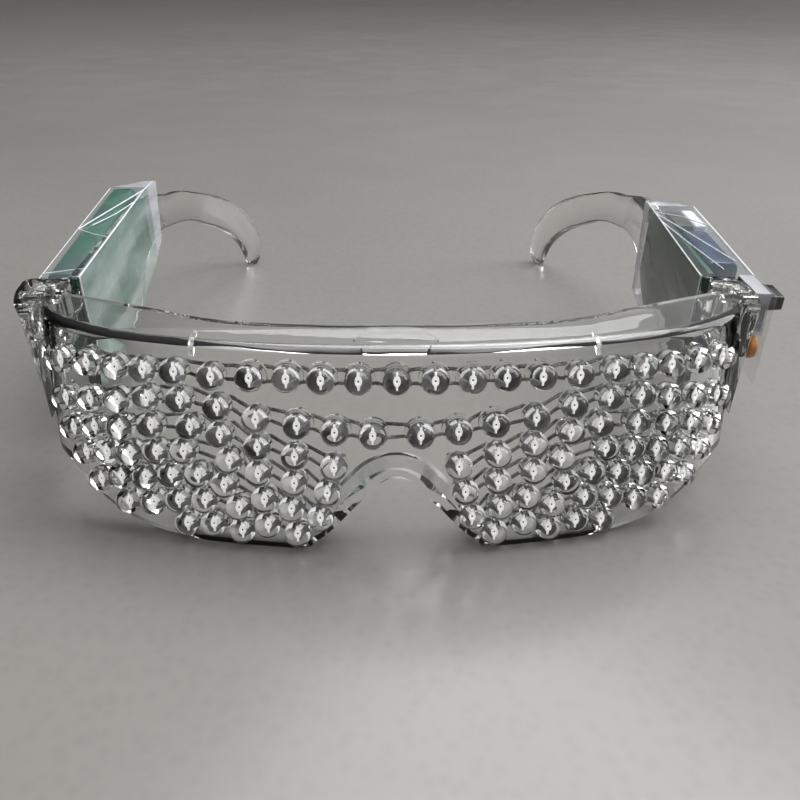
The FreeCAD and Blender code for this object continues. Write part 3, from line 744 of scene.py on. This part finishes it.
def arm_model():
    """An arm cut from its side outline, rounded, and bent in towards the ear."""
    border = arm_top + arm_low[::-1]
    last = len(arm_top) - 1
    soft = [k for k in range(len(border)) if k not in (0, last, last + 1, len(border) - 1)]
    piece = drawn("arm", [(arm_face, arm_reach * y, arm_tall * z) for y, z in border],
                  soft, (arm_thick, 0, 0))
    rounded(piece, 0.5, 3, degrees=60)
    sliced(piece, "Y", *(73.0 + 2.5 * n for n in range(18)))
    for v in piece.data.vertices:
        past = v.co.y / mm / arm_reach - 0.63
        if past > 0:
            slope = 2.047 * past ** 0.8
            middle = arm_face + arm_thick / 2
            v.co.x = (middle + (v.co.x / mm - middle) * math.hypot(1, slope)
                      - arm_reach * 1.137 * past ** 1.8) * mm
    knuckle = rod("knuckle", (0, 0, 29.85), 3.4, 5.3)
    carve(knuckle, block("bridge", (arm_face, 0, 29.85), (0, 7.0, 35.15)), "UNION")
    rounded(knuckle, 0.3, degrees=50)
    carve(piece, knuckle, "UNION")
    return carve(piece, rod("arm_bore", (0, 0, 20), 1.3, 30, 24))


for body, node in (("battery_temple", "battery_arm"), ("switch_temple", "switch_arm")):
    arm = on_side(arm_model(), body)
    arm.name = arm.data.name = node + "_clear"
    smoothed(arm, 32)
    dressed(arm, body, "clear_moulding", clear)
    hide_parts(node)


# The hinge pins
# Bright steel pins pressed through the lugs, with their ends set into low round heads.
steel = finish_of("pin_steel", ((0.62, 0.61, 0.59), (0.45, 0.44, 0.43)), 900, (0.18, 0.42),
                  0.00002, Metallic=1.0)
parts = []
for side in (-1, 1):
    pin = rod("pin", (side * hinge_x, hinge_y, 26.5), 1.0, 12.0, 24)
    for up in (-1, 1):
        bevelled(pin, "FACE", lambda c, n: n.z * up > 0.9, 0.22, 3)
        pick(pin, "FACE", lambda c, n: n.z * up > 0.99)
        bpy.ops.mesh.inset(thickness=0.25 * mm)
        bpy.ops.mesh.extrude_region_move(
            TRANSFORM_OT_translate={"value": (0, 0, -0.15 * up * mm)})
        bpy.ops.object.mode_set(mode="OBJECT")
    parts.append(pin)
steel_pins = joined_to(*parts)
steel_pins.name = steel_pins.data.name = "steel_pins"
smoothed(steel_pins, 40)
dressed(steel_pins, "front", "pin_steel", steel)
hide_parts("hinge_pins")


# The battery
# A flat cell shrunk into glossy green sleeve lies along the outside of one arm, tipped up at
# the back. Nickel tabs are spot welded from its front end to a small green circuit board.
def end_caps(piece, rim, sunk):
    """Rounds both ends of a sleeved piece and sinks their middles a little."""
    for end in (-1, 1):
        bevelled(piece, "FACE", lambda c, n: n.y * end > 0.95, 0.5, 2)
        pick(piece, "FACE", lambda c, n: n.y * end > 0.95)
        bpy.ops.mesh.inset(thickness=rim * mm)
        bpy.ops.mesh.extrude_region_move(
            TRANSFORM_OT_translate={"value": (0, -sunk * end * mm, 0)})
        bpy.ops.object.mode_set(mode="OBJECT")


green = finish_of("green_sleeve", ((0.004, 0.055, 0.030), (0.012, 0.120, 0.065)), 90,
                  (0.10, 0.26), 0.0002, **{"Coat Weight": 0.5, "Coat Roughness": 0.08})
cell = block("cell", (-1.4, 0, 0), (5.2, 52.0, 21.0))
bevelled(cell, "EDGE", lambda c, d: abs(d.y) > 1, 1.5, 4)
end_caps(cell, 0.7, 0.4)
sliced(cell, "Y", *(2.0 * n for n in range(1, 26)))


def crumpled(piece, depth, size):
    """Pushes the skin of a piece in and out a little, as thin film lies."""
    for v in piece.data.vertices:
        v.co += v.normal * noise.noise(v.co / mm / size) * depth * mm
    return piece


crumpled(cell, 0.12, 4.0)
cell.rotation_euler = (math.radians(5.0), 0, 0)
cell.location = (0, 12.5 * mm, 15.6 * mm)
on_side(settle(cell), "battery_temple")
cell.name = cell.data.name = "sleeved_cell"
smoothed(cell, 40)
dressed(cell, "battery_temple", "green_sleeve", green)
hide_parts("battery_block")

laminate = finish_of("board_green", ((0.010, 0.070, 0.030), (0.020, 0.110, 0.050)), 500,
                     (0.22, 0.4), 0.00003)
solder = finish_of("pad_solder", ((0.62, 0.62, 0.60), (0.42, 0.42, 0.41)), 1500, (0.2, 0.45),
                   0.00003, Metallic=1.0)


def circuit_board(name, low, high, pads):
    """A thin board with rounded edges and small tinned pads on one face."""
    piece = block(name, low, high)
    rounded(piece, 0.15)
    piece.data.materials.append(laminate)
    piece.data.materials.append(solder)
    dots = []
    for spot in pads:
        dot = blob(spot, 0.6)
        dot.data.materials.append(laminate)
        dot.data.materials.append(solder)
        for f in dot.data.polygons:
            f.material_index = 1
        dots.append(dot)
    return joined_to(piece, *dots)


def placed(piece, body, slot, node, name, *materials):
    """Takes a finished piece to its side and lets it stand for its node."""
    on_side(piece, body)
    piece.name = piece.data.name = name
    smoothed(piece, 40)
    dressed(piece, body, slot, *materials)
    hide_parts(node)


placed(circuit_board("cell_board", (-1.4, 7.3, 15.5), (4.8, 8.9, 35.5),
                     [(3.6, 8.8, z) for z in (24.0, 27.0, 30.0, 33.5)]),
       "battery_temple", "board_green", "battery_board", "cell_circuit_board")

nickel = finish_of("tab_nickel", ((0.68, 0.66, 0.62), (0.52, 0.50, 0.47)), 700, (0.22, 0.4),
                   0.00002, Metallic=1.0)
parts = []
for z in (20.0, 28.0):
    tab = block("tab", (1.9, 8.9, z), (2.2, 11.3, z + 4.0))
    rounded(tab, 0.08, 1)
    sliced(tab, "Y", 9.6, 10.4)
    for v in tab.data.vertices:
        if 9.5 < v.co.y / mm < 10.5:
            v.co.x += 0.25 * mm
    parts.append(tab)
placed(joined_to(*parts), "battery_temple", "tab_nickel", "battery_tabs", "nickel_tabs", nickel)


# The tape round the packs
# Each pack is held to its arm by a sleeve of clear packing tape wound round both. It is drawn
# tight over the corners, milky along its folds, and stuck flat to itself in a tail behind.
def tape_material(name, thin, thick, tones):
    """Thin clear tape: nearly invisible where it is tight, hazy in streaks where air is caught."""
    material = bpy.data.materials.new(name)
    material.use_nodes = True
    nodes, links = material.node_tree.nodes, material.node_tree.links
    shader = nodes["Principled BSDF"]
    haze = nodes.new("ShaderNodeGroup")
    haze.node_tree = cloud
    for socket, value in (("Scale", 60.0), ("Stretch", (1.0, 0.45, 2.2)), ("Gloss low", 0.06),
                          ("Gloss high", 0.30), ("Tone low", (*tones[0], 1)),
                          ("Tone high", (*tones[1], 1))):
        haze.inputs[socket].default_value = value
    rim = nodes.new("ShaderNodeLayerWeight")
    rim.inputs["Blend"].default_value = 0.04
    veil = nodes.new("ShaderNodeMapRange")
    veil.inputs["From Min"].default_value = 0.35
    veil.inputs["From Max"].default_value = 0.75
    veil.inputs["To Min"].default_value = thin
    veil.inputs["To Max"].default_value = thick
    thicker = nodes.new("ShaderNodeMath")
    thicker.operation = "MAXIMUM"
    relief = nodes.new("ShaderNodeBump")
    relief.inputs["Distance"].default_value = 0.0002
    links.new(haze.outputs["Tone"], shader.inputs["Base Color"])
    links.new(haze.outputs["Gloss"], shader.inputs["Roughness"])
    links.new(haze.outputs["Height"], relief.inputs["Height"])
    links.new(relief.outputs["Normal"], shader.inputs["Normal"])
    links.new(haze.outputs["Height"], veil.inputs["Value"])
    links.new(veil.outputs["Result"], thicker.inputs[0])
    links.new(rim.outputs["Facing"], thicker.inputs[1])
    links.new(thicker.outputs["Value"], shader.inputs["Alpha"])
    shader.inputs["IOR"].default_value = 1.6
    return material


tape = tape_material("clear_film", 0.0, 0.07, ((0.20, 0.26, 0.28), (0.55, 0.60, 0.64)))
milky_tape = tape_material("milky_film", 0.16, 0.50, ((0.30, 0.46, 0.41), (0.58, 0.68, 0.66)))
hazy_tape = tape_material("hazy_film", 0.08, 0.36, ((0.36, 0.36, 0.34), (0.62, 0.62, 0.62)))
tail_tape = tape_material("doubled_film", 0.30, 0.75, ((0.50, 0.50, 0.53), (0.78, 0.78, 0.84)))
fold_white = finish_of("tape_fold", ((0.86, 0.88, 0.90), (0.62, 0.68, 0.70)), 700, (0.08, 0.3),
                       0.00004)


def sleeve(name, upper, lower, outer, rear, shut, inner_tape, sink=(0.0, 0.0)):
    """A band of tape through the two side outlines, drawn in to the arm in its tail."""
    border = upper + lower[::-1]
    piece = drawn(name, [(-3.95, y, z) for y, z in border], False, (3.95 + outer, 0, 0))
    bevelled(piece, "EDGE", lambda c, d: abs(d.x) > 1 and 5.2 < c.y < rear + 1, 0.5, 2)
    bevelled(piece, "EDGE", lambda c, d: abs(d.x) < 0.01 and 5.2 < c.y < rear + 1, 0.6, 2)
    sliced(piece, "Y", *(7.0 + 2.0 * n for n in range(int((shut - 6.0) / 2.0))))
    sliced(piece, "Z", *(12.5 + 3.0 * n for n in range(9)))
    pick(piece, "FACE", lambda c, n: abs(n.y) > 0.7 and (c.y < 5.1 or c.y > rear))
    bpy.ops.mesh.delete(type="FACE")
    bpy.ops.object.mode_set(mode="OBJECT")
    crumpled(piece, 0.16, 3.2)
    for v in piece.data.vertices:
        if v.co.z / mm > 36.5 and v.co.x / mm > -1.4:
            deep = max(0.0, sink[0] * (1 - v.co.y / mm / sink[1])) if sink[1] else 0.0
            v.co.z -= deep * min(1, (v.co.x / mm + 1.4) / 2.0) * mm
        past = (v.co.y / mm - rear) / (shut - rear)
        if past > 0 and v.co.x / mm > -1.0:
            v.co.x += (-1.0 - v.co.x / mm) * min(1, past) * mm
    for material in (tape, inner_tape, tail_tape):
        piece.data.materials.append(material)
    for f in piece.data.polygons:
        if f.center.y / mm > rear - 0.5:
            f.material_index = 2
        elif f.center.x / mm < -3.4:
            f.material_index = 1
    return finish_with(piece, "SOLIDIFY", thickness=0.12 * mm, offset=-1)


def folds(piece, routes):
    """Sharp folds of the tape, milky and a little raised, laid along the sleeve."""
    piece.data.materials.append(fold_white)
    last = len(piece.data.materials) - 1
    pleats = []
    for thick, route in routes:
        pleat = wire("pleat", route, thick)
        for n in range(last + 1):
            pleat.data.materials.append(piece.data.materials[n])
        for f in pleat.data.polygons:
            f.material_index = last
        pleats.append(pleat)
    return joined_to(piece, *pleats)


film = sleeve("battery_sleeve", [(5.0, 38.0), (61.67, 41.0), (73.9, 40.1)],
              [(5.0, 12.0), (20.95, 9.85), (29.8, 10.45), (37.86, 12.1), (63.5, 20.05),
               (71.9, 24.2)], 5.5, 65.0, 73.9, milky_tape, (1.6, 60.0))
film = folds(film, [(0.35, [(-3.9, 5.2, 38.0), (-3.9, 34.0, 39.5), (-3.8, 61.0, 40.9),
                            (-3.2, 73.5, 40.0)]),
                    (0.18, [(5.4, 6.0, 36.6), (5.4, 34.0, 38.8), (5.4, 63.0, 41.0)]),
                    (0.32, [(-3.9, 61.0, 41.0), (-0.5, 50.0, 40.3), (5.2, 34.0, 38.9)]),
                    (0.24, [(-3.9, 52.0, 40.5), (-1.5, 43.0, 40.0), (2.4, 36.0, 39.2)]),
                    (0.26, [(5.2, 34.0, 38.9), (0.5, 30.0, 39.0), (-3.8, 27.0, 39.2)]),
                    (0.30, [(-3.9, 9.0, 38.3), (0.0, 10.6, 37.4), (5.4, 9.6, 37.0)]),
                    (0.30, [(-3.9, 5.2, 38.0), (0.5, 6.6, 37.0), (5.4, 5.6, 36.6)]),
                    (0.40, [(-3.9, 5.2, 38.0), (-4.0, 5.1, 30.0), (-4.0, 5.1, 13.0)]),
                    (0.30, [(5.4, 5.2, 36.6), (5.5, 5.1, 30.0), (5.5, 5.1, 24.0)]),
                    (0.40, [(-3.4, 73.6, 40.0), (-3.4, 73.0, 32.0), (-3.4, 71.8, 24.4)])])
placed(film, "battery_temple", "clear_film", "battery_film", "battery_tape")


# The controller
# A bare circuit board lies flat on the outside of the other arm, with a dark moulded part, a
# part shrunk in navy sleeve and a pad of white foam on it, all under the same clear tape.
placed(circuit_board("controller", (-1.4, 8.0, 13.6), (-0.2, 54.0, 37.6),
                     [(-0.2, y, z) for y in (10.0, 12.0) for z in (16.0, 19.0, 22.0, 25.0, 28.0)]),
       "switch_temple", "board_green", "controller_board", "controller_board_pads")

resin = finish_of("dark_resin", ((0.020, 0.026, 0.014), (0.050, 0.056, 0.034)), 300, (0.28, 0.5),
                  0.00006)
lump = block("lump", (-0.2, 38.5, 24.0), (3.8, 50.5, 38.5))
pick(lump, "FACE", lambda c, n: n.x > 0.9)
bpy.ops.mesh.inset(thickness=1.2 * mm)
bpy.ops.mesh.extrude_region_move(TRANSFORM_OT_translate={"value": (-0.35 * mm, 0, 0)})
bpy.ops.object.mode_set(mode="OBJECT")
rounded(lump, 0.5, 3)
placed(lump, "switch_temple", "dark_resin", "dark_block", "dark_moulded_part", resin)

navy = finish_of("navy_sleeve", ((0.010, 0.022, 0.060), (0.030, 0.055, 0.120)), 110,
                 (0.14, 0.32), 0.0002)
roll = block("roll", (0.1, 14.0, 16.4), (7.1, 37.0, 37.9))
bevelled(roll, "EDGE", lambda c, d: abs(d.y) > 1, 1.6, 4)
end_caps(roll, 0.8, 0.5)
sliced(roll, "Y", *(14.0 + 2.0 * n for n in range(1, 12)))
placed(crumpled(roll, 0.12, 3.0), "switch_temple", "navy_sleeve", "navy_block",
       "navy_sleeved_part", navy)

foam = finish_of("white_foam", ((0.66, 0.67, 0.70), (0.82, 0.83, 0.86)), 1400, (0.6, 0.85),
                 0.0002)
pad = block("foam", (4.1, 38.5, 26.0), (7.1, 52.0, 38.6))
rounded(pad, 0.5, 3)
for n in range(1, 5):
    sliced(pad, "Y", 38.5 + 2.7 * n)
    sliced(pad, "Z", 26.0 + 2.5 * n)
placed(crumpled(pad, 0.2, 2.5), "switch_temple", "white_foam", "white_block", "foam_pad", foam)

ceramic = finish_of("ceramic_orange", ((0.50, 0.20, 0.05), (0.66, 0.32, 0.10)), 500, (0.3, 0.5),
                    0.00005)
disc = rod("disc", (0, 0, -0.9), 2.6, 1.8, 28)
rounded(disc, 0.55, 3)
disc.rotation_euler = (0, math.pi / 2, 0)
disc.location = Vector((6.2, -3.0, 26.0)) * mm
placed(settle(disc), "switch_temple", "ceramic_orange", "ceramic_disc", "orange_ceramic_disc",
       ceramic)

sleeve_two = sleeve("switch_sleeve", [(5.0, 38.0), (50.1, 39.35), (55.1, 39.4), (58.0, 39.1)],
                    [(5.0, 12.0), (20.95, 9.85), (29.8, 10.45), (54.0, 13.6), (56.0, 14.6)],
                    7.4, 53.0, 58.0, hazy_tape)
sleeve_two = folds(sleeve_two, [(0.5, [(7.3, 5.5, 38.0), (7.35, 30.0, 38.8), (7.3, 52.0, 39.4)]),
                                (0.35, [(-3.9, 5.2, 38.0), (-3.9, 30.0, 38.7), (-3.9, 50.0, 39.3),
                                        (-3.6, 57.8, 39.1)]),
                                (0.32, [(-3.8, 46.0, 39.2), (0.0, 34.0, 38.9), (6.0, 14.0, 38.3)]),
                                (0.26, [(-3.8, 40.0, 39.0), (-1.0, 24.0, 38.6), (2.0, 9.0, 38.2)]),
                                (0.26, [(-3.8, 47.0, 39.3), (2.0, 44.0, 39.2), (7.2, 37.0, 39.0)]),
                                (0.40, [(-3.6, 57.7, 39.0), (-3.6, 57.0, 28.0),
                                        (-3.6, 56.0, 14.8)]),
                                (0.32, [(-3.9, 5.2, 38.0), (-4.0, 5.1, 30.0), (-4.0, 5.1, 13.0)])])
tongue = block("tongue", (7.1, -7.0, 19.0), (7.4, 6.0, 38.6))
carve(tongue, block("window", (6.0, -2.95, 33.25), (9.0, 5.15, 37.35)))
rounded(tongue, 0.1, 1)
flap = drawn("flap", [(7.2, -4.9, 38.4), (4.1, -4.8, 38.4), (4.0, -0.5, 38.4),
                      (4.25, -0.5, 38.4), (4.3, -4.55, 38.4), (7.2, -4.65, 38.4)], False,
             (0, 0, -9.2))
cover = drawn("cover", [(7.2, -4.9, 38.3), (4.1, -4.8, 38.3), (4.0, 5.6, 38.3),
                        (7.2, 5.6, 38.3)], False, (0, 0, -0.25))
for part in (tongue, flap, cover):
    for n in range(len(sleeve_two.data.materials)):
        part.data.materials.append(sleeve_two.data.materials[n])
    for f in part.data.polygons:
        f.material_index = 1 if part is tongue else 2
placed(joined_to(sleeve_two, tongue, flap, cover), "switch_temple", "clear_film", "switch_film",
       "switch_tape")


# The switch
# A black slide body sits at the front of the controller pack, and its glossy black cap stands
# out of a window in the tape, where a fingertip presses it in.
black = finish_of("housing_black", ((0.012, 0.012, 0.013), (0.026, 0.026, 0.028)), 500,
                  (0.25, 0.45), 0.00004)
shiny = finish_of("cap_black", ((0.004, 0.004, 0.005), (0.010, 0.010, 0.012)), 260,
                  (0.05, 0.14), 0.00004, **{"Coat Weight": 0.6, "Coat Roughness": 0.04})
housing = block("body", (4.35, -4.4, 29.8), (7.1, 6.6, 37.8))
carve(housing, block("pocket", (4.85, -2.95, 33.25), (9.0, 5.15, 37.35)))
rounded(housing, 0.2)
placed(housing, "switch_temple", "housing_black", "switch_housing", "switch_body", black)

cap = block("cap", (6.4, -2.6, 33.6), (11.2, 4.8, 37.0))
pick(cap, "FACE", lambda c, n: n.x > 0.9)
bpy.ops.transform.resize(value=(1, 0.92, 0.86))
bpy.ops.object.mode_set(mode="OBJECT")
bevelled(cap, "EDGE", lambda c, d: c.x > 6.6, 0.35, 3)
on_side(cap, "switch_temple")
cap.name = cap.data.name = "press_cap"
smoothed(cap, 40)
dressed(cap, "switch_cap", "cap_black", shiny)
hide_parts("switch_cap")


# The table and the light
# A pale polished stone top, lit by one large soft light above it and a weaker one at the
# right. The room low around the table stays dim, which draws the edges of the clear parts.
bpy.ops.object.select_all(action="DESELECT")
bpy.ops.mesh.primitive_plane_add(size=8.0, location=(0, 1.0, 0))
table = settle(bpy.context.object)
table.name = "table_top"
stone = finish_of("table_stone", ((0.205, 0.198, 0.185), (0.226, 0.218, 0.204)), 5, (0.22, 0.26))
grain = stone.node_tree.nodes.new("ShaderNodeTexVoronoi")
place = stone.node_tree.nodes.new("ShaderNodeTexCoord")
speck = stone.node_tree.nodes.new("ShaderNodeMapRange")
tint = stone.node_tree.nodes.new("ShaderNodeMix")
tint.data_type = "RGBA"
tint.blend_type = "MULTIPLY"
grain.inputs["Scale"].default_value = 420
speck.inputs["From Min"].default_value = 0.05
speck.inputs["From Max"].default_value = 0.6
speck.inputs["To Min"].default_value = 0.35
speck.inputs["To Max"].default_value = 0.0
tint.inputs[7].default_value = (0.80, 0.80, 0.80, 1)
links = stone.node_tree.links
face = stone.node_tree.nodes["Principled BSDF"]
links.new(place.outputs["Object"], grain.inputs["Vector"])
links.new(grain.outputs["Distance"], speck.inputs["Value"])
links.new(speck.outputs["Result"], tint.inputs[0])
links.new(face.inputs["Base Color"].links[0].from_socket, tint.inputs[6])
links.new(tint.outputs[2], face.inputs["Base Color"])
table.data.materials.append(stone)

world = bpy.data.worlds.new("room")
bpy.context.scene.world = world
world.use_nodes = True
nodes, links = world.node_tree.nodes, world.node_tree.links
sky = nodes["Background"]
ray = nodes.new("ShaderNodeLightPath")
way = nodes.new("ShaderNodeTexCoord")
toward = nodes.new("ShaderNodeVectorMath")
toward.operation = "DOT_PRODUCT"
toward.inputs[1].default_value = (0.36, -0.05, 0.93)
rise = nodes.new("ShaderNodeMapRange")
seen = nodes.new("ShaderNodeMix")
seen.data_type = "RGBA"
rise.inputs["From Min"].default_value = 0.15
rise.inputs["From Max"].default_value = 0.90
rise.inputs["To Min"].default_value = 0.06
rise.inputs["To Max"].default_value = 0.95
links.new(way.outputs["Generated"], toward.inputs[0])
links.new(toward.outputs["Value"], rise.inputs["Value"])
links.new(ray.outputs["Is Camera Ray"], seen.inputs[0])
links.new(rise.outputs["Result"], seen.inputs[6])
seen.inputs[7].default_value = (0.42, 0.42, 0.40, 1)
links.new(seen.outputs[2], sky.inputs["Color"])

for name, power, wide, tall, at in (("overhead", 17, 1.3, 0.9, (0.30, 0.32, 1.15)),
                                    ("window", 7, 0.6, 0.9, (1.1, 0.15, 0.60))):
    lamp_data = bpy.data.lights.new(name, "AREA")
    lamp_data.shape = "RECTANGLE"
    lamp_data.energy, lamp_data.size, lamp_data.size_y = power, wide, tall
    light = bpy.data.objects.new(name, lamp_data)
    bpy.context.scene.collection.objects.link(light)
    light.location = at
    light.rotation_euler = (-light.location).to_track_quat("-Z", "Y").to_euler()

bpy.context.scene.view_settings.view_transform = "Standard"
